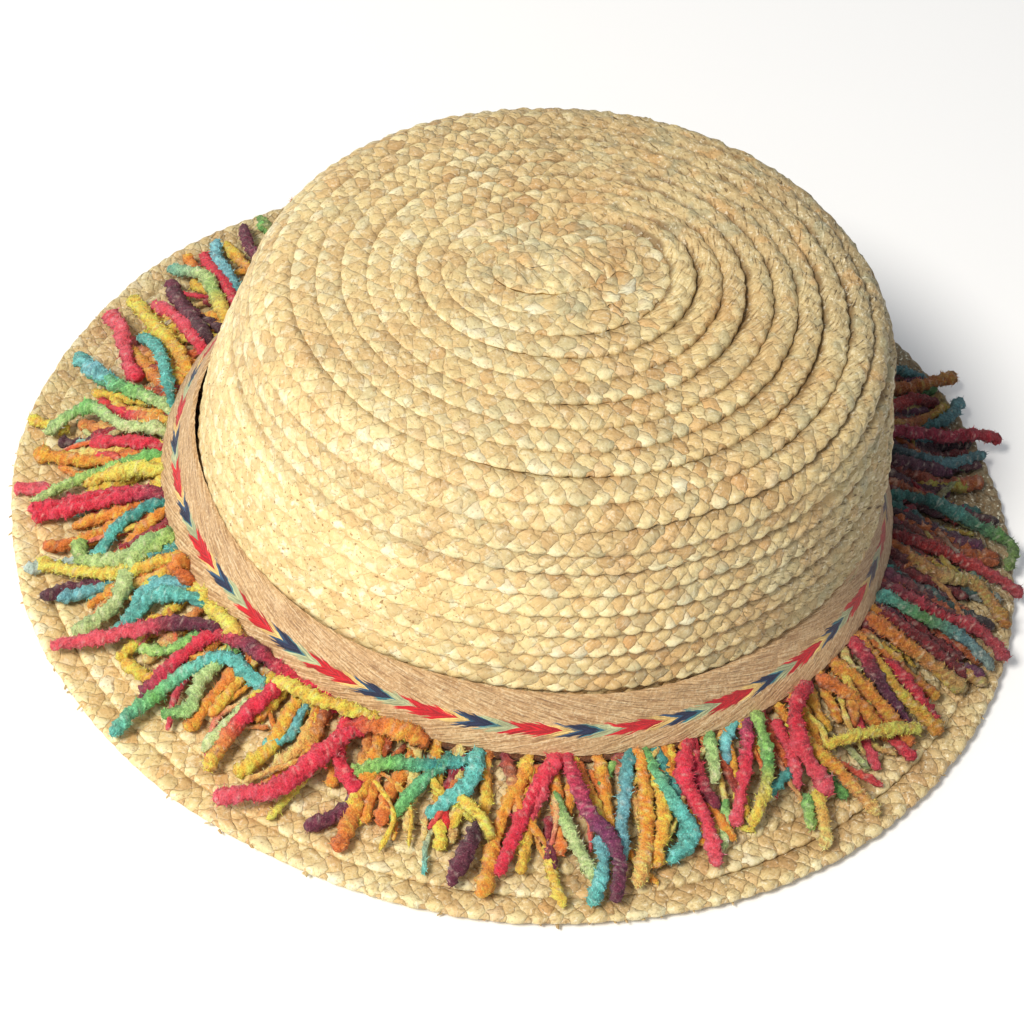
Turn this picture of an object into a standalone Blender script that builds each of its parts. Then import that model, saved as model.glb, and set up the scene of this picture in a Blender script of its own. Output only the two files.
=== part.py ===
"""A straw sombrero: a crown and a brim of lapped plait rows, a woven band and a yarn fringe.

Every cross-section is an oval. The head oval is the crown's outer edge at the head line, where
the crown meets the brim, and each other oval is given by its offset from that one: the same
length is added to both half axes. +X runs along the head, +Z is up, and the origin is under the
middle of the hat, on the surface that the brim rests on.
"""

import math

import bmesh
import bpy
import numpy as np

# Head and crown, in metres
HEAD_LENGTH = 0.190
HEAD_WIDTH = 0.174
CROWN_HEIGHT = 0.080
CROWN_TAPER = 0.0079
CROWN_BULGE = 0.0033
SHOULDER_WIDTH = 0.013
SHOULDER_HEIGHT = 0.0165
DOME_RISE = 0.0056
TIP_RADIUS = 0.004
TIP_SHIFT_ALONG = -0.0055
TIP_SHIFT_ACROSS = 0.0034
STRAW_WALL = 0.0020

# Brim
BRIM_WIDTH = 0.051
BRIM_DROP = 0.0120
BRIM_THICKNESS = 0.0024
BRIM_EDGE_ROUND = 0.0008
LAND_WIDTH = 0.010

# Plait rows, each lapped over the next one out
CROWN_ROW_PITCH = 0.0067
BRIM_ROW_PITCH = 0.0073
CROWN_ROW_STEP = 0.0007
BRIM_ROW_STEP = 0.0006

# Band
BAND_WIDTH = 0.0155
BAND_THICKNESS = 0.0014
BAND_CURVE = 1.4

# Fringe
HEADER_WIDTH = 0.0093
FRINGE_THICKNESS = 0.0033
LOCK_LENGTH = 0.0340
LOCK_WIDTH = 0.0075
LOCK_COUNT = 60
LOCK_LEAN = math.radians(10)

# Gap between pieces, and the extra height that keeps a straight lock off the curved brim
CLEARANCE = 0.0003
LOCK_LIFT = 0.0004

# Facets
SIDES = 48
CURVE_SAMPLES = 60
LOCK_SEGMENTS = 4

# Share of LOCK_LEAN and of LOCK_LENGTH for the locks of one tuft, repeated round the brim
TUFT = [
    {"lean": 0.00, "length": 0.92},
    {"lean": 0.95, "length": 1.00},
    {"lean": 0.59, "length": 0.84},
    {"lean": -0.59, "length": 1.04},
    {"lean": -0.95, "length": 0.90},
    {"lean": 0.10, "length": 1.08},
    {"lean": 0.85, "length": 0.80},
    {"lean": 0.45, "length": 0.97},
    {"lean": -0.65, "length": 0.88},
    {"lean": -0.80, "length": 1.06},
]

HEAD_LINE = BRIM_THICKNESS + BRIM_DROP
CROWN_BASE = HEAD_LINE + CLEARANCE
WALL_HEIGHT = CROWN_HEIGHT - DOME_RISE - SHOULDER_HEIGHT


def clear_scene():
    """Remove whatever the file holds, so that the hat stands alone."""
    for item in list(bpy.data.objects):
        bpy.data.objects.remove(item, do_unlink=True)


def oval(offset, height, angles, shift=(0.0, 0.0)):
    """Points at the given angles on the oval that lies offset outside the head oval."""
    x = shift[0] + (HEAD_LENGTH / 2 + offset) * np.cos(angles)
    y = shift[1] + (HEAD_WIDTH / 2 + offset) * np.sin(angles)
    z = np.zeros_like(angles) + height
    return np.stack([x, y, z], axis=-1)


def round_angles(count):
    """Evenly spaced angles once round the oval."""
    return np.arange(count) * 2 * math.pi / count


def make_material(name, colour, roughness):
    """A plain Principled material."""
    material = bpy.data.materials.new(name)
    material.use_nodes = True
    shader = material.node_tree.nodes["Principled BSDF"]
    shader.inputs["Base Color"].default_value = (*colour, 1.0)
    shader.inputs["Roughness"].default_value = roughness
    shader.inputs["Metallic"].default_value = 0.0
    return material


def add_loop(mesh, points):
    """Vertices at the points of one loop."""
    return [mesh.verts.new(point) for point in points]


def join_loops(mesh, first, second):
    """Quads between two closed loops of equal length."""
    count = len(first)
    for i in range(count):
        j = (i + 1) % count
        mesh.faces.new((first[i], first[j], second[j], second[i]))


def close_loop(mesh, loop, centre):
    """A fan of triangles from a closed loop to a point."""
    middle = mesh.verts.new(centre)
    count = len(loop)
    for i in range(count):
        mesh.faces.new((loop[i], loop[(i + 1) % count], middle))


def finish_object(name, mesh, material, sharp=math.radians(40)):
    """Turn the mesh's faces outwards, shade it smooth and link it as a named object."""
    bmesh.ops.recalc_face_normals(mesh, faces=mesh.faces)
    data = bpy.data.meshes.new(name)
    mesh.to_mesh(data)
    mesh.free()
    data.shade_smooth()
    data.set_sharp_from_angle(angle=sharp)
    data.materials.append(material)
    piece = bpy.data.objects.new(name, data)
    bpy.context.scene.collection.objects.link(piece)
    return piece


def wall_offset(height):
    """Offset of the crown's smooth wall at a height above its base: it tapers and swells."""
    share = np.clip(height / WALL_HEIGHT, 0.0, 1.0)
    return -CROWN_TAPER * share + CROWN_BULGE * np.sin(math.pi * share)


def crown_curve():
    """The crown's smooth outline from base to tip, as offsets and heights above the base.

    The wall is followed by a quarter ellipse at the shoulder, which ends where its slope meets
    that of the domed top, and the top is a parabola up to the tip.
    """
    wall_height = np.linspace(0.0, WALL_HEIGHT, CURVE_SAMPLES)
    top_reach = HEAD_WIDTH / 2 - CROWN_TAPER - SHOULDER_WIDTH
    turn_end = math.atan2(SHOULDER_HEIGHT * top_reach, SHOULDER_WIDTH * 2 * DOME_RISE)
    turn = np.linspace(0.0, turn_end, CURVE_SAMPLES)[1:]
    shoulder_offset = -CROWN_TAPER - SHOULDER_WIDTH * (1 - np.cos(turn))
    shoulder_height = WALL_HEIGHT + SHOULDER_HEIGHT * np.sin(turn)
    tip_offset = TIP_RADIUS - HEAD_WIDTH / 2
    share = np.linspace(0.0, 1.0, CURVE_SAMPLES)[1:]
    top_offset = shoulder_offset[-1] + (tip_offset - shoulder_offset[-1]) * share
    rise = CROWN_HEIGHT - shoulder_height[-1]
    top_height = CROWN_HEIGHT - rise * (1 - share) ** 2
    offsets = np.concatenate([wall_offset(wall_height), shoulder_offset, top_offset])
    heights = np.concatenate([wall_height, shoulder_height, top_height])
    return offsets, heights


def curve_length(curve):
    """Length along the outline from its first point to each of its points."""
    steps = np.hypot(np.diff(curve[0]), np.diff(curve[1]))
    return np.concatenate([[0.0], np.cumsum(steps)])


def curve_point(curve, share, lift):
    """The point at a share of the outline's length, lifted off it along its outward normal."""
    offsets, heights = curve
    length = curve_length(curve)
    length = length / length[-1]
    middle = (length[1:] + length[:-1]) / 2
    steps = np.hypot(np.diff(offsets), np.diff(heights))
    along = np.interp(share, middle, np.diff(offsets) / steps)
    up = np.interp(share, middle, np.diff(heights) / steps)
    offset = np.interp(share, length, offsets) + lift * up
    height = np.interp(share, length, heights) - lift * along
    return float(offset), float(height)


def tip_shift(offset):
    """How far an oval of the top is moved, because the plait was not started dead centre."""
    shoulder = -CROWN_TAPER - SHOULDER_WIDTH
    share = min(max((shoulder - offset) / (HEAD_WIDTH / 2 + shoulder), 0.0), 1.0)
    return TIP_SHIFT_ALONG * share, TIP_SHIFT_ACROSS * share


def make_crown(material):
    """Lapped rows outside, a smooth wall inside, and a narrow rim at the head line."""
    curve = crown_curve()
    length = curve_length(curve)
    rows = max(3, round(float(length[-1]) / CROWN_ROW_PITCH))
    shoulder_start = length[CURVE_SAMPLES - 1] / length[-1]
    shoulder_end = length[2 * CURVE_SAMPLES - 2] / length[-1]
    profile = []
    for row in range(rows):
        profile.append((row / rows, CROWN_ROW_STEP))
        middle = (row + 0.5) / rows
        if shoulder_start < middle < shoulder_end:
            profile.append((middle, CROWN_ROW_STEP / 2))
        profile.append(((row + 1) / rows, 0.0))
    inner_rows = rows // 2 + 1
    inside = [(1 - i / inner_rows, -STRAW_WALL) for i in range(inner_rows + 1)]

    mesh = bmesh.new()
    angles = round_angles(SIDES)
    loops = []
    for share, lift in profile + inside:
        offset, height = curve_point(curve, share, lift)
        loops.append(add_loop(mesh, oval(offset, CROWN_BASE + height, angles, tip_shift(offset))))
    for first, second in zip(loops, loops[1:] + loops[:1]):
        if first is not loops[len(profile) - 1]:
            join_loops(mesh, first, second)
    centre = (TIP_SHIFT_ALONG, TIP_SHIFT_ACROSS)
    close_loop(mesh, loops[len(profile) - 1], (*centre, CROWN_BASE + CROWN_HEIGHT))
    close_loop(mesh, loops[len(profile)], (*centre, CROWN_BASE + CROWN_HEIGHT - STRAW_WALL))
    return finish_object("crown", mesh, material)


def brim_top(offset):
    """Height of the brim's smooth top: level at the head, an easy fall, then a level land."""
    share = np.clip(offset / (BRIM_WIDTH - LAND_WIDTH), 0.0, 1.0)
    return BRIM_THICKNESS + BRIM_DROP * (0.5 + 0.5 * np.cos(math.pi * share))


def make_brim(material):
    """Lapped rows on top, a smooth underside, and a level land that the hat rests on."""
    rows = max(3, round(BRIM_WIDTH / BRIM_ROW_PITCH))
    edge = BRIM_WIDTH - BRIM_EDGE_ROUND
    profile = [(-STRAW_WALL, HEAD_LINE)]
    for row in range(rows):
        inner = BRIM_WIDTH * row / rows
        outer = min(BRIM_WIDTH * (row + 1) / rows, edge)
        profile.append((inner, float(brim_top(inner))))
        profile.append((outer, float(brim_top(outer)) + BRIM_ROW_STEP))
    profile.append((BRIM_WIDTH, BRIM_THICKNESS / 2))
    profile.append((edge, 0.0))
    fall = BRIM_WIDTH - LAND_WIDTH
    for i in range(rows):
        offset = fall * (1 - i / rows)
        profile.append((offset, float(brim_top(offset)) - BRIM_THICKNESS))
    profile.append((-STRAW_WALL, HEAD_LINE - BRIM_THICKNESS))

    mesh = bmesh.new()
    angles = round_angles(SIDES)
    loops = [add_loop(mesh, oval(offset, height, angles)) for offset, height in profile]
    for first, second in zip(loops, loops[1:] + loops[:1]):
        join_loops(mesh, first, second)
    return finish_object("brim", mesh, material)


def header_section():
    """Inner and outer offset and top height of the ring that the locks hang from."""
    outer_bottom = lock_floor(CROWN_ROW_STEP + HEADER_WIDTH)
    top = outer_bottom + FRINGE_THICKNESS
    swell = float(wall_offset(top - CROWN_BASE))
    inner = swell + CROWN_ROW_STEP + 2 * CLEARANCE
    return inner, inner + HEADER_WIDTH, top


def lock_floor(offset):
    """Lowest height that a lock may have, clear of the brim's rows below it."""
    return float(brim_top(offset)) + BRIM_ROW_STEP + CLEARANCE + LOCK_LIFT


def make_band(material):
    """A woven ribbon that stands on the fringe's header and leans in to the crown above it."""
    header_inner, foot_offset, header_top = header_section()
    foot = header_top + CLEARANCE
    head_offset = float(wall_offset(foot + BAND_WIDTH - CROWN_BASE))
    head_offset += CROWN_ROW_STEP + CLEARANCE + BAND_THICKNESS
    shares = np.linspace(0.0, 1.0, 5)
    offsets = head_offset + (foot_offset - head_offset) * shares ** BAND_CURVE
    heights = foot + BAND_WIDTH * (1 - shares)
    outside = list(zip(offsets, heights))
    inside = [(offset - BAND_THICKNESS, height) for offset, height in outside]

    mesh = bmesh.new()
    angles = round_angles(SIDES)
    loops = [add_loop(mesh, oval(o, h, angles)) for o, h in outside + inside[::-1]]
    for first, second in zip(loops, loops[1:] + loops[:1]):
        join_loops(mesh, first, second)
    return finish_object("band", mesh, material)


def lock_section(angle, offset, width, thickness):
    """Four corners of a lock's cross-section: low left, low right, high right, high left."""
    radius = (HEAD_LENGTH + HEAD_WIDTH) / 4 + offset
    half = width / 2 / radius
    floor = lock_floor(offset)
    sides = np.array([angle - half, angle + half])
    low = oval(offset, floor, sides)
    high = oval(offset, floor + thickness, sides)
    return [low[0], low[1], high[1], high[0]]


def make_fringe(material):
    """A header ring with one lock of yarn growing out of every second cell of its outer face."""
    inner, outer, top = header_section()
    radius = (HEAD_LENGTH + HEAD_WIDTH) / 4 + outer
    half = LOCK_WIDTH / 2 / radius
    mesh = bmesh.new()
    stations = []
    for i in range(LOCK_COUNT):
        middle = i * 2 * math.pi / LOCK_COUNT
        for angle in (middle - half, middle + half):
            side = np.array([angle])
            corners = [
                oval(inner, lock_floor(inner), side)[0],
                oval(outer, lock_floor(outer), side)[0],
                oval(outer, top, side)[0],
                oval(inner, top, side)[0],
            ]
            stations.append(add_loop(mesh, corners))
    count = len(stations)
    for i in range(count):
        here = stations[i]
        after = stations[(i + 1) % count]
        for side in range(4):
            is_root = side == 1 and i % 2 == 0
            if not is_root:
                nxt = (side + 1) % 4
                mesh.faces.new((here[side], here[nxt], after[nxt], after[side]))

    for i in range(LOCK_COUNT):
        shape = TUFT[i % len(TUFT)]
        left = stations[2 * i]
        right = stations[2 * i + 1]
        section = [left[1], right[1], right[2], left[2]]
        for step in range(1, LOCK_SEGMENTS + 1):
            share = step / LOCK_SEGMENTS
            run = LOCK_LENGTH * shape["length"] * share
            lean = LOCK_LEAN * shape["lean"]
            offset = outer + run * math.cos(lean)
            sideways = run * math.sin(lean) / (radius + offset - outer)
            angle = i * 2 * math.pi / LOCK_COUNT + sideways
            width = LOCK_WIDTH * (1 - 0.25 * share)
            thickness = FRINGE_THICKNESS * (1 - 0.35 * share)
            after = add_loop(mesh, lock_section(angle, offset, width, thickness))
            join_loops(mesh, section, after)
            section = after
        mesh.faces.new(section)
    return finish_object("fringe", mesh, material)


def main():
    """Build the hat's four pieces."""
    clear_scene()
    make_crown(make_material("crown_straw", (0.78, 0.62, 0.36), 0.55))
    make_brim(make_material("brim_straw", (0.66, 0.48, 0.27), 0.60))
    make_band(make_material("band_jute", (0.52, 0.38, 0.25), 0.85))
    make_fringe(make_material("fringe_yarn", (0.72, 0.16, 0.20), 0.95))


main()
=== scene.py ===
"""The straw sombrero dressed for its picture: plaited straw, a woven band and a yarn fringe.

Every shape is a surface worked out on a grid. The crown and brim are plait strips carried round
ovals, the band is a ring, and each strand of the fringe is a lumpy tube along its own path.
Angles turn round the head oval from +X, counterclockwise seen from above.
"""

import math

import bpy
import numpy as np
from mathutils import Matrix, Vector


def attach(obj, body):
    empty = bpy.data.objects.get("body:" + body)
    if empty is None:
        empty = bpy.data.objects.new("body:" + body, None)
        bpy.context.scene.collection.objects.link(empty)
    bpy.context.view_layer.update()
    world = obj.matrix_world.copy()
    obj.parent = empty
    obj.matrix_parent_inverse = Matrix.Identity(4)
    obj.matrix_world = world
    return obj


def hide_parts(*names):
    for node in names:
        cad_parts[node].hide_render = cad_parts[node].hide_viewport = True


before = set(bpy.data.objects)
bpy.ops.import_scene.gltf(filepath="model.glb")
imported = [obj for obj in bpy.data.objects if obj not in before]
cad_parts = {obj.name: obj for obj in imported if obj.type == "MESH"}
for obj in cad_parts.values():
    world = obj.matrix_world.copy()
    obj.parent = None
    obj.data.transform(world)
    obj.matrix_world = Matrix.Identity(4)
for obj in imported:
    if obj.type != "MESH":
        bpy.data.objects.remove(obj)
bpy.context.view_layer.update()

# The solids' own sizes, in metres
HEAD_LENGTH = 0.190
HEAD_WIDTH = 0.174
CROWN_HEIGHT = 0.080
CROWN_TAPER = 0.0079
CROWN_BULGE = 0.0033
SHOULDER_WIDTH = 0.013
SHOULDER_HEIGHT = 0.0165
DOME_RISE = 0.0056
TIP_SHIFT_ALONG = -0.0055
TIP_SHIFT_ACROSS = 0.0034
BRIM_WIDTH = 0.051
BRIM_DROP = 0.0120
BRIM_THICKNESS = 0.0024
LAND_WIDTH = 0.010
CROWN_ROW_STEP = 0.0007
BRIM_ROW_STEP = 0.0006
BAND_WIDTH = 0.0155
BAND_THICKNESS = 0.0014
BAND_CURVE = 1.4
HEADER_WIDTH = 0.0093
FRINGE_THICKNESS = 0.0033
CLEARANCE = 0.0003
LOCK_LIFT = 0.0004
CROWN_BASE = BRIM_THICKNESS + BRIM_DROP + CLEARANCE
WALL_HEIGHT = CROWN_HEIGHT - DOME_RISE - SHOULDER_HEIGHT

# The plait: its rows, the lap under the next row in, the strip's thickness, and one kernel
BRIM_ROWS = 7
BRIM_PITCH = BRIM_WIDTH / BRIM_ROWS
CROWN_PITCH = 0.0067
CROWN_START = math.radians(40)
PLAIT_LAP = 0.0020
CROWN_STRIP = 0.0013
BRIM_STRIP = 0.0018
EDGE_LIFT = 0.0015
KERNEL_LENGTH = 0.0050
KERNEL_WIDTH = 0.0064
KERNEL_START = 0.0012
KERNEL_STATIONS = 4
KERNEL_RELIEF = 0.0008

# The band's pattern, with its threads' slant and its middle as a share of the width
CHEVRONS = 23
CHEVRON_START = math.radians(-103.6)
CHEVRON_LENGTH = 0.0273
CHEVRON_MIDDLE = 0.40
THREAD_SLANT = 0.26

# The yarn: the rise of each layer, one turn of its plies, and a bristle's half width
LAYER_RISE = 0.0021
PLY_TURN = 0.0098
BRISTLE = 0.00013

MM = 0.001
HEAD_RADIUS = 0.5 * (HEAD_LENGTH + HEAD_WIDTH) / 2

# Display colours from 0 to 255. A ramp's stops are each a position and a colour
STRAW_SHADES = [(0.0, (186, 142, 90)), (0.12, (208, 168, 110)), (0.28, (224, 190, 130)),
                (0.48, (236, 211, 150)), (0.66, (245, 228, 172)), (0.82, (251, 240, 192)),
                (0.97, (254, 249, 218))]
JUTE_SHADES = [(0.28, (128, 94, 62)), (0.42, (186, 146, 98)), (0.52, (218, 180, 130)),
               (0.62, (236, 206, 158)), (0.75, (247, 227, 186))]
ARROW_COLOURS = [(0.0, (246, 206, 128)), (0.13, (58, 92, 124)), (0.19, (40, 48, 78)),
                 (0.36, (66, 128, 140)), (0.41, (192, 198, 152)), (0.60, (212, 34, 44))]
WOOL = (("Roughness", 0.95), ("Specular IOR Level", 0.10), ("Sheen Weight", 0.18), ("Sheen Roughness", 0.5))

DYES = {
    "crimson": (204, 44, 74),
    "pink": (228, 82, 108),
    "magenta": (184, 34, 88),
    "red": (204, 46, 50),
    "maroon": (132, 34, 50),
    "orange": (234, 146, 58),
    "rust": (206, 112, 56),
    "gold": (240, 190, 78),
    "yellow": (248, 210, 96),
    "sand": (226, 188, 124),
    "green": (98, 168, 98),
    "lime": (146, 194, 112),
    "mint": (172, 208, 152),
    "teal": (48, 130, 138),
    "turquoise": (86, 176, 184),
    "sky": (100, 166, 196),
    "ice": (174, 206, 214),
    "purple": (112, 52, 102),
    "plum": (94, 40, 68),
    "dusk": (60, 32, 48),
}


def linear(colour):
    """A colour given in 0-255 display values, as linear light."""
    value = np.asarray(colour, float) / 255
    return np.where(value <= 0.04045, value / 12.92, ((value + 0.055) / 1.055) ** 2.4)


def paint(colour):
    """A display colour as the four values of a colour socket."""
    return (*linear(colour), 1)


def unit(vectors):
    """Each vector made one long."""
    return vectors / np.linalg.norm(vectors, axis=-1, keepdims=True)


def circle(count):
    """A count of angles spaced evenly round a full turn."""
    return np.arange(count) * 2 * math.pi / count


def soft_noise(x, y, cell, seed):
    """Smooth noise from -1 to 1: random heights on a lattice of the cell size, eased between."""
    table = np.random.default_rng(seed).uniform(-1, 1, (64, 64))
    u = np.asarray(x, float) / cell
    v = np.asarray(y, float) / cell
    iu = np.floor(u).astype(int)
    iv = np.floor(v).astype(int)
    fu = u - iu
    fv = v - iv
    fu = fu * fu * (3 - 2 * fu)
    fv = fv * fv * (3 - 2 * fv)
    a = table[iu % 64, iv % 64]
    b = table[(iu + 1) % 64, iv % 64]
    c = table[iu % 64, (iv + 1) % 64]
    d = table[(iu + 1) % 64, (iv + 1) % 64]
    return (a * (1 - fu) + b * fu) * (1 - fv) + (c * (1 - fu) + d * fu) * fv


def smooth(low, high, value):
    """0 below low, 1 above high, eased between."""
    share = np.clip((value - low) / (high - low), 0, 1)
    return share * share * (3 - 2 * share)


def oval(offset, height, angle, shift_x=0.0, shift_y=0.0):
    """x = (half length + offset) cos(angle), y = (half width + offset) sin(angle), z = height."""
    x = shift_x + (HEAD_LENGTH / 2 + offset) * np.cos(angle)
    y = shift_y + (HEAD_WIDTH / 2 + offset) * np.sin(angle)
    return np.stack([x, y, np.broadcast_to(height, x.shape)], axis=-1)


def wall_offset(height):
    """The wall tapers in a straight line and swells by half a sine between base and shoulder."""
    share = np.clip(height / WALL_HEIGHT, 0.0, 1.0)
    return -CROWN_TAPER * share + CROWN_BULGE * np.sin(math.pi * share)


def crown_outline():
    """Length, offset and height along the wall, the quarter ellipse and the parabola of the top."""
    wall = np.linspace(0.0, WALL_HEIGHT, 300)
    reach = HEAD_WIDTH / 2 - CROWN_TAPER - SHOULDER_WIDTH
    turn_end = math.atan2(SHOULDER_HEIGHT * reach, SHOULDER_WIDTH * 2 * DOME_RISE)
    turn = np.linspace(0.0, turn_end, 200)[1:]
    turn_offset = -CROWN_TAPER - SHOULDER_WIDTH * (1 - np.cos(turn))
    turn_height = WALL_HEIGHT + SHOULDER_HEIGHT * np.sin(turn)
    share = np.linspace(0.0, 1.0, 300)[1:]
    top_offset = turn_offset[-1] + (-HEAD_WIDTH / 2 - turn_offset[-1]) * share
    top_height = CROWN_HEIGHT - (CROWN_HEIGHT - turn_height[-1]) * (1 - share) ** 2
    offset = np.concatenate([wall_offset(wall), turn_offset, top_offset])
    height = np.concatenate([wall, turn_height, top_height])
    run = np.concatenate([[0.0], np.cumsum(np.hypot(np.diff(offset), np.diff(height)))])
    return run, offset, height


RUN, RUN_OFFSET, RUN_HEIGHT = crown_outline()
CROWN_LENGTH = float(RUN[-1])
RUN_OUT = np.gradient(RUN_HEIGHT, RUN)
RUN_UP = -np.gradient(RUN_OFFSET, RUN)


def on_crown(run, lift, angle):
    """The point a run up the crown's outline, lifted along its outward normal."""
    offset = np.interp(run, RUN, RUN_OFFSET)
    shoulder = -CROWN_TAPER - SHOULDER_WIDTH
    share = np.clip((shoulder - offset) / (HEAD_WIDTH / 2 + shoulder), 0.0, 1.0)
    height = np.interp(run, RUN, RUN_HEIGHT) + lift * np.interp(run, RUN, RUN_UP)
    offset = offset + lift * np.interp(run, RUN, RUN_OUT)
    height = CROWN_BASE + height
    return oval(offset, height, angle, TIP_SHIFT_ALONG * share, TIP_SHIFT_ACROSS * share)


def brim_top(offset):
    """Level at the head, half a cosine down to the land, then level."""
    share = np.clip(offset / (BRIM_WIDTH - LAND_WIDTH), 0.0, 1.0)
    return BRIM_THICKNESS + BRIM_DROP * (0.5 + 0.5 * np.cos(math.pi * share))


def on_brim(reach, lift, angle):
    """The point a reach out on the brim, lifted along its normal."""
    slope = (brim_top(reach + 0.0005) - brim_top(reach - 0.0005)) / 0.001
    size = np.sqrt(1 + slope**2)
    return oval(reach - lift * slope / size, brim_top(reach) + lift / size, angle)


def kernels(along, across):
    """Height from 0 to 1 of the plait's rounded kernels, high in the outer row, low in the next."""
    p = along / KERNEL_LENGTH + (across - KERNEL_START) / KERNEL_WIDTH
    q = along / KERNEL_LENGTH - (across - KERNEL_START) / KERNEL_WIDTH
    fp = 2 * np.abs(p - np.floor(p) - 0.5)
    fq = 2 * np.abs(q - np.floor(q) - 0.5)
    pillow = np.sqrt(np.clip((1 - fp**2.2) * (1 - fq**2.2), 0, 1))
    return pillow * (1 - 0.35 * smooth(0.0015, 0.0042, across))


def strip_section(pitch, thick):
    """A strip's section: how far across, its lift as a step and as a cord, and how much shows.

    The step falls from a rounded nose by the 0.9 power of the way left to the next row. The cord
    is half an ellipse one pitch wide. Both have the same underside, and the same lap.
    """
    across = [pitch + PLAIT_LAP, pitch + 0.0008]
    lift = [-0.0009, -0.0006]
    share = np.array([1, 0.85, 0.70, 0.56, 0.43, 0.31, 0.20, 0.11, 0.04])
    nose = np.sqrt(1 - (1 - np.minimum(share / 0.24, 1)) ** 2)
    across += list(pitch * share)
    lift += list(EDGE_LIFT * (1 - share) ** 0.9 * nose)
    across += [0.0, 0.0003]
    lift += [0.0001, -0.0005]
    cord = EDGE_LIFT * np.sqrt(np.clip(1 - ((share - 0.45) / 0.50) ** 2, 0, 1))
    cord = np.concatenate([lift[:2], cord, lift[-2:]])
    under = np.linspace(0.0012, pitch + PLAIT_LAP - 0.0004, 4)
    across += list(under)
    lift += list(-0.0006 - thick * under / (pitch + PLAIT_LAP))
    cord = np.concatenate([cord, lift[-4:]])
    shown = np.array([0.0, 0.2] + [1.0] * 7 + [0.9, 0.7] + [0.35, 0.1] + [0.3] * 4)
    return np.array(across), np.array(lift), cord, shown


def closed_faces(rows, columns, ring, first=0):
    """Quads of a grid whose columns close on themselves, and whose rows do where ring is set."""
    r = np.arange(rows if ring else rows - 1)[:, None]
    c = np.arange(columns)[None, :]
    r1 = (r + 1) % rows
    c1 = (c + 1) % columns
    quads = [r * columns + c, r1 * columns + c, r1 * columns + c1, r * columns + c1]
    quads = [np.broadcast_to(quad, (len(r), columns)) for quad in quads]
    return first + np.stack(quads, -1).reshape(-1, 4)


def end_caps(rows, columns, first=0):
    """The two faces that close the ends of a grid whose columns close on themselves."""
    ring = np.arange(columns)
    return first + np.stack([ring, (rows - 1) * columns + ring[::-1]])


def corner_map(grid, turn=None):
    """A map's values at the four corners of each quad, with the first column added at the end.

    Where the rows close on themselves too, turn is what the map gains over the full turn.
    """
    grid = np.concatenate([grid, grid[:, :1]], axis=1)
    if turn is not None:
        last = grid[:1].copy()
        last[..., 0] += turn
        grid = np.concatenate([grid, last], axis=0)
    corners = [grid[:-1, :-1], grid[1:, :-1], grid[1:, 1:], grid[:-1, 1:]]
    return np.stack(corners, axis=2).reshape(-1, 2)


def make_piece(name, points, faces, material, node, uv=None, tint=None, sharp=None):
    """One mesh from points and lists of same-sided faces, riding on the hat in place of a node."""
    mesh = bpy.data.meshes.new(name)
    points = points.reshape(-1, 3)
    loops = np.concatenate([f.ravel() for f in faces]).astype(np.int32)
    sides = np.concatenate([np.full(len(f), f.shape[1]) for f in faces])
    starts = np.concatenate([[0], np.cumsum(sides)[:-1]]).astype(np.int32)
    mesh.vertices.add(len(points))
    mesh.vertices.foreach_set("co", np.ascontiguousarray(points, np.float32).ravel())
    mesh.loops.add(len(loops))
    mesh.loops.foreach_set("vertex_index", loops)
    mesh.polygons.add(len(sides))
    mesh.polygons.foreach_set("loop_start", starts)
    mesh.update(calc_edges=True)
    if uv is not None:
        spare = np.zeros((len(loops) - len(uv), 2))
        layer = mesh.uv_layers.new(name="straw")
        layer.data.foreach_set("uv", np.concatenate([uv, spare]).astype(np.float32).ravel())
    if tint is not None:
        colours = mesh.color_attributes.new("tint", "FLOAT_COLOR", "POINT")
        full = np.concatenate([tint.reshape(-1, 3), np.ones((len(points), 1))], axis=1)
        colours.data.foreach_set("color", full.astype(np.float32).ravel())
    mesh.shade_smooth()
    if sharp:
        mesh.set_sharp_from_angle(angle=sharp)
    mesh.materials.append(material)
    piece = bpy.data.objects.new(name, mesh)
    bpy.context.scene.collection.objects.link(piece)
    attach(piece, "root")
    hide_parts(node)


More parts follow.
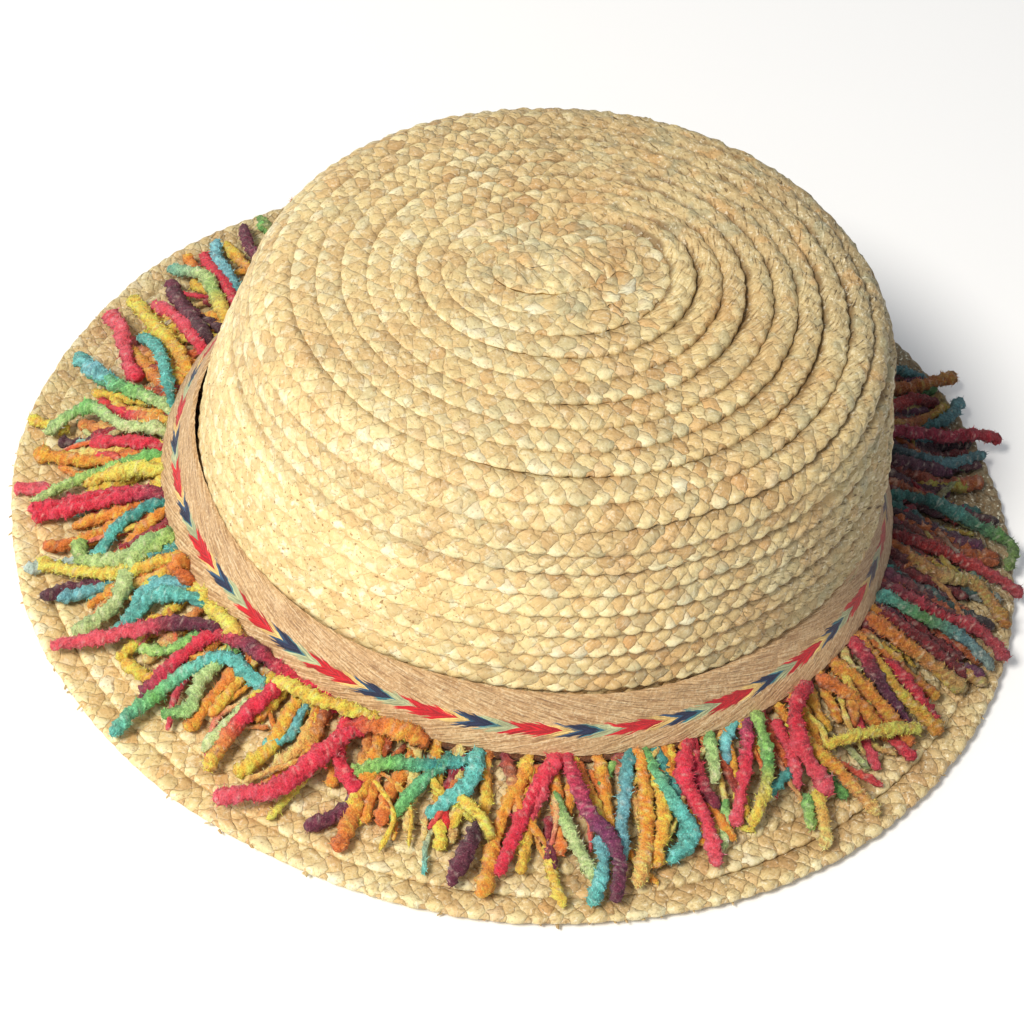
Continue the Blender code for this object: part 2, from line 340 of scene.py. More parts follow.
def plait_strip(place, angle, outer, squeeze, sink, proud, cord, stir, pitch, along, seed, ring):
    """A plait strip: its section carried along the angles, at each station's outer edge.

    place gives the point for a run, a lift and an angle. squeeze is the share of the section's
    width that is left, sink how deep it lies and proud the share of its lift. cord is the share
    by which the step turns into a half-round cord and the kernels flatten, and stir how much the
    pattern is shifted by noise. Kernels and a fine roughness are added to the section's lift.
    """
    on_the_brim = place is on_brim
    across, step, half_round, shown = strip_section(pitch, BRIM_STRIP if on_the_brim else CROWN_STRIP)
    a = angle[:, None]
    s = along[:, None]
    w = across[None, :]
    x = s + stir[:, None] * 0.0010 * soft_noise(s, w + seed, 0.0060, seed) + 0 * w
    y = w + stir[:, None] * 0.0006 * soft_noise(s, w, 0.0050, seed + 1)
    waver = 0.0005 * soft_noise(s, 0 * s, 0.030, seed + 2)
    waver = waver + 0.0002 * soft_noise(s, 0 * s, 0.006, seed + 3)
    flat = (1 - 0.25 * cord[:, None]) * (1 - 0.55 * smooth(0.55, 0.95, 0.5 - 0.5 * np.cos(a)))
    rough = (0.00022 + 0.00030 * cord[:, None]) * soft_noise(s + 0.6 * w, 2.2 * w, 0.0021, seed + 4)
    relief = KERNEL_RELIEF * kernels(x, y) * flat + rough
    lobe = np.abs(np.sin(math.pi * x / KERNEL_LENGTH)) ** 0.7
    scallop = 0.0007 * (lobe - 0.6) * smooth(0.0022, 0.0, w) * flat
    lift = step[None, :] + (half_round - step)[None, :] * cord[:, None]
    height = np.maximum(lift, 0) * proud[:, None] + np.minimum(lift, 0)
    height = height + shown[None, :] * relief - sink[:, None]
    reach = (w + waver - scallop) * squeeze[:, None]
    run = outer[:, None] - reach if on_the_brim else outer[:, None] + reach
    points = place(run, height, a + 0 * w)
    turn = float(along[-1] + along[1]) / MM if ring else None
    return points, corner_map(np.stack([x, y], axis=-1) / MM, turn)


def cord_share(angle):
    """How far the plait turns into a half-round cord: most on the right, none on the left."""
    facing = 0.5 + 0.5 * np.cos(angle - math.radians(5))
    return smooth(0.50, 0.92, facing)


def drift(run, angle):
    """The rows of the shoulder run lower at the front left and higher at the right."""
    share = np.clip(run / CROWN_LENGTH, 0, 1)
    return run + 0.0045 * np.cos(angle - math.radians(30)) * np.sin(math.pi * share) ** 2


def crown_place(run, lift, angle):
    """A point of the crown whose run drifts with the angle."""
    return on_crown(np.clip(drift(run, angle), 0, CROWN_LENGTH - 0.0003), lift, angle)


def make_crown(material):
    """One strip that winds out from the tip to the head line, cut in two at the shoulder."""
    turns = CROWN_LENGTH / CROWN_PITCH
    fine = np.linspace(1.0, turns + 0.75, 40000)
    turn_angle = -2 * math.pi * fine + CROWN_START
    edge = np.maximum(CROWN_LENGTH - CROWN_PITCH * fine, 0)
    middle = crown_place(edge + CROWN_PITCH / 2, 0 * edge, turn_angle)
    length = np.concatenate([[0], np.cumsum(np.linalg.norm(np.diff(middle, axis=0), axis=1))])
    count = int(length[-1] / (KERNEL_LENGTH / KERNEL_STATIONS))
    along = np.linspace(0, length[-1], count)
    turn = np.interp(along, length, fine)
    angle = -2 * math.pi * turn + CROWN_START
    outer = np.maximum(CROWN_LENGTH - CROWN_PITCH * turn, 0)
    inner = CROWN_LENGTH - CROWN_PITCH * (turn - 1) + PLAIT_LAP
    squeeze = np.clip((inner - outer) / (CROWN_PITCH + PLAIT_LAP), 0.12, 1)
    sink = 0.0012 * (1 - smooth(1.0, 1.5, turn))
    cord = cord_share(angle) * smooth(3.0, 4.2, turn)
    left = smooth(0.5, 0.95, 0.5 - 0.5 * np.cos(angle))
    proud = 0.10 + (0.46 - 0.36 * left + 1.10 * cord_share(angle)) * smooth(2.9, 4.0, turn)
    stir = 1 + 1.2 * (1 - smooth(3.0, 5.0, turn))
    points, uv = plait_strip(crown_place, angle, outer, squeeze, sink, proud, cord, stir,
                             CROWN_PITCH, along, 11, False)
    run = outer[:, None] + strip_section(CROWN_PITCH, CROWN_STRIP)[0][None, :]
    tint = straw_tint(points, run > SHOULDER_RUN, cord[:, None] + 0 * run)
    columns = points.shape[1]
    split = count - int(np.searchsorted(outer[::-1], SHOULDER_RUN))
    for name, start, stop in (("crown_top_plait", 0, split + 1), ("crown_wall_plait", split, count)):
        rows = stop - start
        faces = [closed_faces(rows, columns, False), end_caps(rows, columns)]
        part_uv = uv[start * columns * 4:(stop - 1) * columns * 4]
        make_piece(name, points[start:stop], faces, material, "crown",
                   part_uv, tint[start:stop], math.radians(60))


def make_tip_cap(material):
    """A thin, slightly three-lobed cap of plait over the tip, where the crown's strip starts."""
    rings, stations = 22, 96
    share = np.concatenate([np.linspace(0.015, 1, rings), np.linspace(0.98, 0.03, 6)])[:, None]
    angle = circle(stations)[None, :]
    reach = CROWN_PITCH * 1.25 * (1 + 0.05 * np.sin(3 * angle)) * share
    flat_place = on_crown(CROWN_LENGTH - reach, 0 * reach, angle + 0 * share)
    x = flat_place[..., 0]
    y = flat_place[..., 1] * 0.8 + 0.3 * x
    x = x + 0.0016 * soft_noise(x, y, 0.006, 61)
    y = y + 0.0012 * soft_noise(y, x, 0.005, 62)
    top = np.arange(len(share))[:, None] < rings
    lift = 0.0007 + 0.0007 * kernels(x, 0.5 * np.mod(y, KERNEL_WIDTH))
    lift = lift + 0.0002 * soft_noise(x, y, 0.0016, 63)
    lift = lift - 0.0011 * smooth(0.72, 1.0, share)
    points = on_crown(CROWN_LENGTH - reach, np.where(top, lift, -0.0012), angle + 0 * share)
    faces = [closed_faces(len(share), stations, False), end_caps(len(share), stations)]
    tint = straw_tint(points, np.ones(points.shape[:2], bool), 0 * x)
    make_piece("crown_tip_cap", points, faces, material, "crown",
               corner_map(np.stack([x, y], -1) / MM), tint, math.radians(60))


SHOULDER_RUN = float(np.interp(WALL_HEIGHT - 0.004, RUN_HEIGHT, RUN))


def straw_tint(points, is_top, cord):
    """Three values for the straw's material: the cord, the left's flecks with painted light,
    and the right's dull finish with painted shade.
    """
    x, y = points[..., 0], points[..., 1]
    facing = np.arctan2(y * HEAD_LENGTH / HEAD_WIDTH, x)
    # The left faces the key light: its share brings flecks and painted light, a paler, washed-out straw
    # with less painted shade.
    flecked_and_lit = smooth(0.45, 0.95, 0.5 + 0.5 * np.cos(facing - math.radians(185)))
    # Painted shade: the wall facing away from the key light is greyed, and so is the top toward the right,
    # with a share of up to 1.45 that reaches the darkest painted shade past 1.1.
    wall = smooth(0.50, 0.88, 0.5 + 0.5 * np.cos(facing + math.radians(8)))
    top = 0.30 + 0.70 * smooth(-0.015, 0.080, 0.92 * x + 0.40 * y) + 0.45 * smooth(0.050, 0.088, x)
    dulled_and_shaded = np.where(is_top, top, np.maximum(wall, 0.05))
    return np.stack([cord, flecked_and_lit * np.where(is_top, 0.6, 1.0), dulled_and_shaded], axis=-1)


def make_brim(material):
    """Closed rows of plait, the inner ones lapped over the outer ones."""
    rings, quads, uvs, tints = [], [], [], []
    first = 0
    for row in range(BRIM_ROWS):
        edge = BRIM_PITCH * (row + 1)
        around = 2 * math.pi * (HEAD_RADIUS + edge - BRIM_PITCH / 2)
        stations = round(around / KERNEL_LENGTH) * KERNEL_STATIONS
        angle = circle(stations)
        along = np.arange(stations) * KERNEL_LENGTH / KERNEL_STATIONS
        ones = np.ones(stations)
        cord = 0.25 * cord_share(angle)
        proud = (0.75 if row == BRIM_ROWS - 1 else 0.55) * ones
        points, uv = plait_strip(on_brim, angle, (edge - 0.0002) * ones, ones, 0 * ones, proud, cord,
                                 1.3 * ones, BRIM_PITCH, along, 20 + 5 * row, True)
        points[..., 2] = np.maximum(points[..., 2], 0.0)
        x, y = points[..., 0], points[..., 1]
        columns = points.shape[1]
        quads.append(closed_faces(stations, columns, True, first)[:, ::-1])
        uvs.append(uv.reshape(-1, 4, 2)[:, ::-1].reshape(-1, 2))
        # Shares for the brim: more painted light on the left; painted shade on the right, on the five inner
        # rows under the fringe and, strongest, where the crown casts its painted shadow; duller toward the
        # back left.
        left = smooth(0.5, 0.95, 0.5 - 0.5 * np.cos(angle))[:, None]
        right = smooth(0.60, 0.95, 0.5 + 0.5 * np.cos(angle))[:, None]
        shaded = smooth(0.050, 0.115, 0.90 * x + 0.42 * y)
        far_left = smooth(0.00, 0.09, y) * smooth(0.02, -0.06, x)
        dulled_and_shaded = (0.6 if row < 5 else 0.34) - 0.30 * left + 0.35 * right + 1.3 * shaded + 0.55 * far_left
        shares = np.broadcast_arrays(cord[:, None], 0.2 + 0.3 * left, dulled_and_shaded)
        tints.append(np.stack(shares, -1).reshape(-1, 3))
        rings.append(points.reshape(-1, 3))
        first += stations * columns
    make_piece("brim_plait", np.concatenate(rings), [np.concatenate(quads)], material, "brim",
               np.concatenate(uvs), np.concatenate(tints), math.radians(60))


def make_ends(material):
    """Short straw ends at the brim's edge: three-sided spikes that taper out along the edge."""
    rng = np.random.default_rng(83)
    count = 110
    angle = rng.uniform(-math.pi, math.pi, count)
    root = on_brim(np.full(count, BRIM_WIDTH - 0.0009), rng.uniform(-0.0012, 0.0004, count), angle)
    rim = np.full(count, BRIM_WIDTH)
    level = np.zeros(count)
    out = unit(on_brim(rim, level, angle) - on_brim(rim - 0.001, level, angle))
    side = np.stack([-out[:, 1], out[:, 0], 0 * out[:, 0]], -1)
    way = out + side * rng.normal(0, 1.6, (count, 1))
    way = way + np.array([0, 0, 1]) * rng.normal(0.05, 0.25, (count, 1))
    way *= rng.uniform(0.0008, 0.0019, (count, 1)) / np.linalg.norm(way, axis=1, keepdims=True)
    width = rng.uniform(0.0003, 0.0007, (count, 1))
    across = np.cross(way, [0, 0, 1.0])
    across *= width / np.linalg.norm(across, axis=1, keepdims=True)
    over = np.array([0, 0, 0.00022])
    points = np.stack([root + across, root - across, root + over * 2, root + way * 0.75 + across * 0.6,
                       root + way - across * 0.5, root + way * 0.9 + over], axis=1)
    points[..., 2] = np.maximum(points[..., 2], 0.0001)
    prism = np.array([[0, 1, 4, 3], [1, 2, 5, 4], [2, 0, 3, 5]])
    closing = np.array([[0, 2, 1], [3, 4, 5]])
    first = np.arange(count)[:, None, None] * 6
    uv = np.tile(rng.uniform(0, 60, (count, 1, 2)), (1, 12, 1)).reshape(-1, 2)
    # A fixed share of the left's flecks and painted light, and of the right's dull finish and painted
    # shade.
    tint = np.broadcast_to(np.array([0.0, 0.3, 0.3]), (count * 6, 3))
    faces = [(first + prism).reshape(-1, 4), (first + closing).reshape(-1, 3)]
    make_piece("brim_ends", points, faces, material, "brim", uv, tint, math.radians(40))


def lock_floor(offset):
    """The fringe's lowest height, clear of the brim's rows."""
    return brim_top(offset) + BRIM_ROW_STEP + CLEARANCE + LOCK_LIFT


def header_section():
    """Inner and outer offset and top height of the fringe's header."""
    outer_bottom = float(lock_floor(CROWN_ROW_STEP + HEADER_WIDTH))
    top = outer_bottom + FRINGE_THICKNESS
    inner = float(wall_offset(top - CROWN_BASE)) + CROWN_ROW_STEP + 2 * CLEARANCE
    return inner, inner + HEADER_WIDTH, top


HEADER_INNER, HEADER_OUTER, HEADER_TOP = header_section()


def make_band(material):
    """A ribbon ring: it stands on the header and curves in to the crown, with two rolled edges."""
    foot = HEADER_TOP + CLEARANCE
    head_offset = float(wall_offset(foot + BAND_WIDTH - CROWN_BASE))
    head_offset = head_offset + CROWN_ROW_STEP + CLEARANCE + BAND_THICKNESS
    up = np.linspace(0, 1, 15)
    across = np.concatenate([up, up[::-2]])
    depth = np.concatenate([0 * up, 0 * up[::-2] + BAND_THICKNESS])
    depth[0] = depth[14] = 0.0003
    stations = 1380
    angle = circle(stations)[:, None]
    around = angle * (HEAD_RADIUS + 0.006)
    share = 1 - across[None, :]
    offset = head_offset + (HEADER_OUTER - head_offset) * share**BAND_CURVE
    sway = 0.0006 * np.sin(3 * angle + 1.0) * across + 0.0004 * np.sin(7 * angle) * across
    left = smooth(0.55, 1.0, 0.5 + 0.5 * np.cos(angle - math.radians(200)))
    sway = sway + 0.0004 * left * across**2
    height = foot + BAND_WIDTH * across[None, :] + 0.0004 * np.sin(5 * angle) * across
    weave = 0.00018 * soft_noise(around, around * 0 + across * 0.02 + depth, 0.0011, 5)
    offset = offset - depth[None, :] + np.maximum(sway, -0.0003) + weave
    points = oval(offset, height, angle + 0 * across)
    round_edge = np.where(depth > BAND_THICKNESS / 2, 2 - across + BAND_THICKNESS / BAND_WIDTH, across)
    repeat = (angle - CHEVRON_START) / (2 * math.pi) * CHEVRONS
    uv = corner_map(np.stack([repeat + 0 * across, round_edge + 0 * angle], -1), CHEVRONS)
    make_piece("band_ribbon", points, [closed_faces(*points.shape[:2], True)], material, "band",
               uv, None, math.radians(70))


# The strands that the picture shows, one a line: the layer, the radius in mm and the dyes from root
# to tip, then the path's points, each an angle in degrees and a reach out from the head oval in mm
STRANDS = """
1 2.1 plum crimson crimson: -186 9, -187.2 17, -188 28, -188.4 45
0 2.4 orange rust: -184 20, -183.6 32, -183.4 43
1 2.0 orange yellow yellow: -173.5 9, -175 27, -177.7 35, -181.6 45
1 2.0 teal turquoise: -185 9, -182.5 23, -179 31
1 2.3 green mint lime: -178 9, -177.6 26, -180 34, -183 33
0 2.0 teal plum dusk: -175 9, -176 30, -176 47
0 2.0 turquoise sky: -176.5 9, -175.4 28, -175 43
0 1.8 ice ice: -180 30, -180.6 49
1 2.4 lime mint mint: -177.9 10, -175.5 22, -171 30, -170.2 43
0 2.0 rust orange: -173 9, -174 24, -173 31
2 2.1 plum plum pink pink: -157.5 12, -162.6 22, -166 34, -168.8 50
1 2.2 turquoise turquoise: -163.5 11, -168.6 21, -167.4 34
0 2.1 sky turquoise: -168 10, -171 21, -168 28
1 1.6 green lime: -159.8 14, -160.4 26, -163.8 30
0 2.2 orange gold: -158 14, -159 32, -164 35
1 2.2 crimson crimson plum: -157.6 11, -158.6 24, -157.7 38
1 2.0 turquoise turquoise green turquoise: -147 16, -154 17.5, -156.4 27, -156.6 41, -155.3 51
1 1.9 green mint green: -154 12, -154.2 25, -152.6 32, -154.4 37
0 2.0 rust orange: -152 11, -151.6 22, -151 35
1 2.2 crimson crimson gold: -145 11, -146 24, -145.3 41
0 1.9 mint mint: -147.6 20, -147.2 37
0 2.2 orange gold: -142 12, -141.4 26, -142.9 37
0 1.8 sky turquoise: -141.5 11, -140.4 24, -142 27
2 2.5 crimson crimson pink: -131.5 12, -134.6 25, -137.4 38, -142 47
0 1.9 plum plum: -128.5 24, -130 33, -132.4 41
0 2.3 orange orange rust: -129 12, -128.5 27, -127.7 44
1 2.2 crimson crimson: -134 12, -133 22, -128.8 28
0 2.1 orange sand: -138.5 12, -138 22, -139.5 30
1 1.7 turquoise teal green lime: -115.6 13, -121.4 17.5, -127 19.5, -131.5 25
1 1.7 teal green: -118.5 13, -121.8 23, -124.2 31
1 2.1 turquoise turquoise: -115 10, -115.4 19, -120.2 28
0 2.2 orange rust: -124 14, -125 25, -124.5 33
1 2.1 dusk plum: -113.6 28, -114.6 34, -115.8 45
2 1.8 yellow gold: -112 31, -114.5 27, -116.9 23
0 1.8 rust gold: -113.7 9, -112.8 25
0 1.9 plum red: -117 12, -118 22, -117 30
1 2.0 crimson crimson: -104 9, -107.9 24, -111.2 40
0 2.2 orange orange: -108 12, -111 28, -112.7 47
0 1.9 rust gold: -106.5 12, -107.6 28, -108 39
0 1.8 maroon plum: -104.8 24, -105 38
0 1.8 gold yellow: -105 30, -104.6 38, -104.1 48
1 1.7 green mint mint: -104.4 19, -102.7 30, -99.6 42
1 2.0 crimson pink: -103.6 9, -106.2 20, -108 27
2 2.1 crimson purple plum: -103 9, -101 25, -97.6 37, -98.2 48
1 2.0 sky turquoise: -99 30, -99.5 39, -100.9 48
0 1.9 rust gold: -101.2 10, -98.6 28
1 1.9 teal sky sky: -93.4 9, -95.9 23, -96.8 37
1 2.1 orange orange sand: -92.2 9, -92.8 20, -93.9 34, -95.6 44
1 2.0 gold orange: -91.5 11, -91.1 27, -92.9 39
1 2.1 green turquoise turquoise: -91.6 9, -89.6 24, -88.3 33, -91.6 38
0 2.1 teal turquoise: -89.6 9, -88.4 30, -89 37
0 1.7 lime green: -94.5 9, -98.2 17
1 2.2 crimson crimson pink: -84 9, -86.8 20, -86.1 31, -86.5 42
0 2.0 crimson plum: -83.5 9, -84.4 20, -83.8 28
0 1.8 gold orange: -86.9 9, -87.8 15
1 1.7 green mint: -80.8 9, -83.1 22
0 1.7 green mint: -82 26, -84.9 38
1 1.9 purple crimson pink: -74 9, -79 23, -82.2 33
2 1.7 lime green gold: -72.6 9, -75.8 24, -80.6 35
1 1.8 teal turquoise: -72 26, -75 28, -78.2 30
0 2.0 turquoise sky: -76 9, -79.5 14, -80.5 18
1 1.9 gold sand: -70.8 34, -72.6 41, -74.4 48
1 1.7 green lime: -72.2 33, -73.8 42
2 2.4 crimson crimson pink: -62.5 11, -67.6 15, -70.2 23, -69.8 37
1 2.0 crimson pink: -70.5 14, -71.6 24, -73 31
0 1.9 green green: -68 25, -67.7 39
1 1.9 gold orange sand: -69.5 16, -67.8 26, -66.1 48
2 1.9 gold yellow yellow: -66 26, -60 31, -53.6 38.5
0 2.0 crimson pink: -58 20, -61.8 38
0 2.1 rust crimson: -56 14, -56.2 30, -57 43
1 2.1 rust orange orange: -60 11, -58 24, -57.4 34
1 1.9 rust yellow: -60 26, -58.5 21, -55.8 14
1 2.2 orange orange rust: -56 11, -55.4 24, -55.4 40
1 2.0 crimson plum purple: -50 10, -52.6 24, -53.8 36
1 2.0 orange gold orange: -49 11, -51.2 28, -52 44
1 1.9 crimson crimson: -48.4 20, -49.2 30, -51 41
1 2.2 rust orange sand: -44.5 10, -44.3 26, -44.5 43
0 2.0 rust orange: -47 11, -47.3 26, -47.4 38
1 1.9 maroon maroon: -42 12, -41.9 27, -42.4 42
0 1.9 orange sand: -41 34, -41.4 48
2 1.9 turquoise green sky ice: -39.6 10, -39.4 25, -38.5 36, -39.3 48
0 1.8 green green: -42.5 11, -43.2 19
1 2.1 plum crimson pink: -37 10, -36.2 28, -35 40, -37 51
0 2.0 plum maroon: -33.5 10, -33.6 26, -33.4 42
1 2.1 rust sand orange: -27.4 9, -29.4 27, -27.6 36, -32.4 49
0 1.9 purple ice: -28.8 26, -28.1 46
1 2.0 maroon red pink: -25.6 10, -24.6 31, -24.8 40, -27 52
0 2.1 dusk plum: -32 9, -32.6 24, -31 30
1 2.0 turquoise teal turquoise green lime: -16.4 9, -15.7 27, -17.3 41, -20 49, -23.6 47.5
0 2.1 rust rust: -21 11, -20.4 26, -20.8 40
0 2.0 magenta maroon: -24 9, -21 13, -17 18
0 1.9 plum dusk: -15.6 20, -15.4 47
0 1.9 teal teal: -13.6 12, -13.8 42
0 2.2 plum plum: -12 9, -11.4 24, -10.6 33
1 2.2 plum purple: -8.6 9, -8.3 24, -7.4 36
0 1.9 gold yellow: -10.5 22, -9.2 40
1 1.9 dusk sky sky: -5.4 10, -6.2 34, -4.4 50
0 2.2 plum plum: -5 9, -4.2 22, -3.6 36
2 1.9 magenta magenta crimson: -3 9, -2.2 31, -1.9 46, -2.6 57
0 1.9 sky sky: -1.4 20, -0.9 44
1 2.0 gold rust gold: -2.4 9, 0.6 26, 3.6 41, 4.6 47
0 2.0 teal teal: 0.6 9, 3.4 34
1 1.9 teal sky sky: 0.4 30, 2.2 43, 5.2 52
1 2.2 maroon red maroon: 2.6 10, 4.6 26, 6.2 36, 4.8 44
1 2.0 gold rust orange: 9.6 10, 8.6 34, 8.2 46, 9.1 57
0 2.0 rust gold: 9 20, 10 38
1 2.0 teal sky: 14 10, 12.4 38, 9.2 46
0 1.9 sand sand: 5.5 30, 6.6 48
0 2.0 lime green: 109.5 26, 109.8 36, 109.9 45
1 2.0 plum plum: 117 14, 114.8 34, 112.4 46
0 2.0 rust gold: 119 14, 117.3 32, 116.2 43
1 1.8 teal sky sky: 127 12, 122.4 26, 119.2 38, 116.6 45
1 2.0 crimson crimson: 129.6 10, 125 23, 121.6 35, 119.4 43
0 2.0 rust orange: 127 16, 123.6 34, 121.8 46
2 2.0 gold lime mint turquoise: 133 10, 128.4 22, 125 32, 124.8 45
0 2.3 dusk plum plum: 134 10, 130.6 28, 126.6 41
1 2.3 dusk plum plum: 138.6 10, 133.2 23, 127.6 38
1 2.2 crimson pink: 140.6 9, 134.6 25, 131.6 38
1 2.3 orange gold yellow: 146.6 9, 138.6 24, 134.6 36, 132.6 45
0 2.2 orange gold: 149.4 9, 142 20, 137 33
1 2.4 crimson pink pink: 148 24, 142 34, 138.6 39, 136.3 46
2 1.7 teal turquoise turquoise: 156 8.6, 147 17, 142 24, 138 33
0 2.1 rust orange: 153 9, 146 20, 141 32
1 2.0 mint green turquoise: 155.6 9, 152 19, 148.4 33, 146.6 41
1 2.6 turquoise sky turquoise: 148.8 30, 147.4 38, 145.4 45
0 2.2 gold crimson red: 157.6 10, 155 22, 151.6 33
0 2.1 orange gold: 156 12, 153.8 24, 151 29
2 1.9 mint mint green mint: 160.2 9, 159.2 22, 155.2 34, 158.6 44
0 2.1 plum dusk: 160 26, 159.4 40
1 2.1 crimson crimson: 163.6 9, 161.6 20, 160 31
0 2.2 rust orange orange: 163 12, 163 30, 161.8 46
0 2.0 yellow gold: 156.8 38, 156 50
1 1.8 green lime mint: 165 10, 166.2 26, 169.8 45
1 2.3 yellow yellow gold: 168.6 9, 168 20, 167.2 31
0 2.2 pink pink: 168 38, 167.4 50
1 2.1 plum crimson crimson: 174 10, 171 22, 171.2 34, 170.8 46
0 2.2 gold yellow: 171.6 9, 170.4 22
2 2.2 rust orange yellow gold: -168 11, -171 14, -171.5 11, -163 10.8
2 2.0 gold yellow plum: -163 11, -156 11.8, -150 10.8
2 2.1 crimson plum crimson crimson: -159 15, -152 12.4, -146 10.8, -136 10.6
2 2.1 yellow gold yellow: -146 13.4, -138 13.8, -132 11.4, -125 10.2
2 2.4 crimson rust orange rust: -134 15.5, -130 14, -126 13, -122 12
"""

WISP_DYES = "orange gold sand yellow mint pink crimson turquoise rust".split()
BACK_DYES = """crimson orange turquoise green plum gold pink lime sky rust yellow maroon teal mint
    purple""".split()
WARM_DYES = "orange orange sand rust gold maroon gold".split()
# Dark dyes for the right, partly as painted shade.
SHADY_DYES = "plum dusk maroon teal purple rust green maroon".split()


def read_strands(table):
    """The table's strands, each as its layer, radius, dyes and path."""
    strands = []
    for line in table.strip().splitlines():
        head, path = line.split(":")
        layer, radius, dyes = head.split(" ", 2)
        points = [tuple(map(float, point.split())) for point in path.split(",")]
        strands.append((int(layer), float(radius), dyes, points))
    return strands


def back_strands():
    """Strands for the side that the picture hides, then what lies under and between the rest.

    Each has a path of three points that leans by a few degrees. The lowest layer is dark on the
    right, partly as painted shade, and warm elsewhere, and thin wisps fill in over both.
    """
    rng = np.random.default_rng(31)
    strands = []
    for angle in np.arange(15.5, 108, 2.05):
        dyes = " ".join(rng.choice(BACK_DYES, 2 if rng.random() < 0.6 else 1))
        lean = rng.normal(0, 3.2)
        reach = rng.uniform(34, 50)
        bend = rng.normal(0, 1.4)
        path = [(angle, 9), (angle + lean * 0.45 + bend, reach * 0.58), (angle + lean, reach)]
        strands.append((int(rng.integers(0, 3)), rng.uniform(1.8, 2.3), dyes, path))
    for angles, names, spread, reaches, radii in (
            (np.arange(-40, 17, 1.8), SHADY_DYES, 2.0, (36, 49), (1.9, 2.4)),
            (np.arange(-250, -40, 3.3), WARM_DYES, 2.6, (22, 37), (1.7, 2.1))):
        for angle in angles:
            dyes = " ".join([rng.choice(names), rng.choice(names)])
            lean = rng.normal(0, spread)
            reach = rng.uniform(*reaches)
            path = [(angle, 9), (angle + lean * 0.5, reach * 0.6), (angle + lean, reach)]
            strands.append((0, rng.uniform(*radii), dyes, path))
    for angle in np.arange(-250, 20, 2.6):
        dyes = " ".join([rng.choice(WARM_DYES), rng.choice(WISP_DYES)])
        lean = rng.normal(0, 5.0)
        start = rng.uniform(10, 24)
        reach = rng.uniform(start + 8, 43)
        bend = rng.normal(0, 1.5)
        path = [(angle, start), (angle + lean * 0.6 + bend, (start + reach) / 2), (angle + lean, reach)]
        strands.append((int(rng.integers(0, 2)), rng.uniform(0.7, 1.2), dyes, path))
    return strands


def strand_path(points, step):
    """A smooth path through the control points, as angles and reaches at equal steps."""
    knots = np.array(points, float)
    angle = np.radians(knots[:, 0])
    reach = knots[:, 1] * MM
    radius = HEAD_RADIUS + reach
    gaps = np.hypot(np.diff(angle) * (radius[1:] + radius[:-1]) / 2, np.diff(reach))
    at = np.concatenate([[0], np.cumsum(gaps)])
    count = max(8, int(at[-1] / step))
    t = np.linspace(0, at[-1], count)
    if len(at) == 2:
        return np.interp(t, at, angle), np.interp(t, at, reach), t
    i = np.clip(np.searchsorted(at, t, side="right") - 1, 0, len(at) - 2)
    h = at[i + 1] - at[i]
    f = (t - at[i]) / h
    b = [2 * f**3 - 3 * f**2 + 1, f**3 - 2 * f**2 + f, -2 * f**3 + 3 * f**2, f**3 - f**2]

    def curve(knot):
        slope = np.gradient(knot, at)
        return b[0] * knot[i] + b[1] * h * slope[i] + b[2] * knot[i + 1] + b[3] * h * slope[i + 1]

    return curve(angle), curve(reach), t


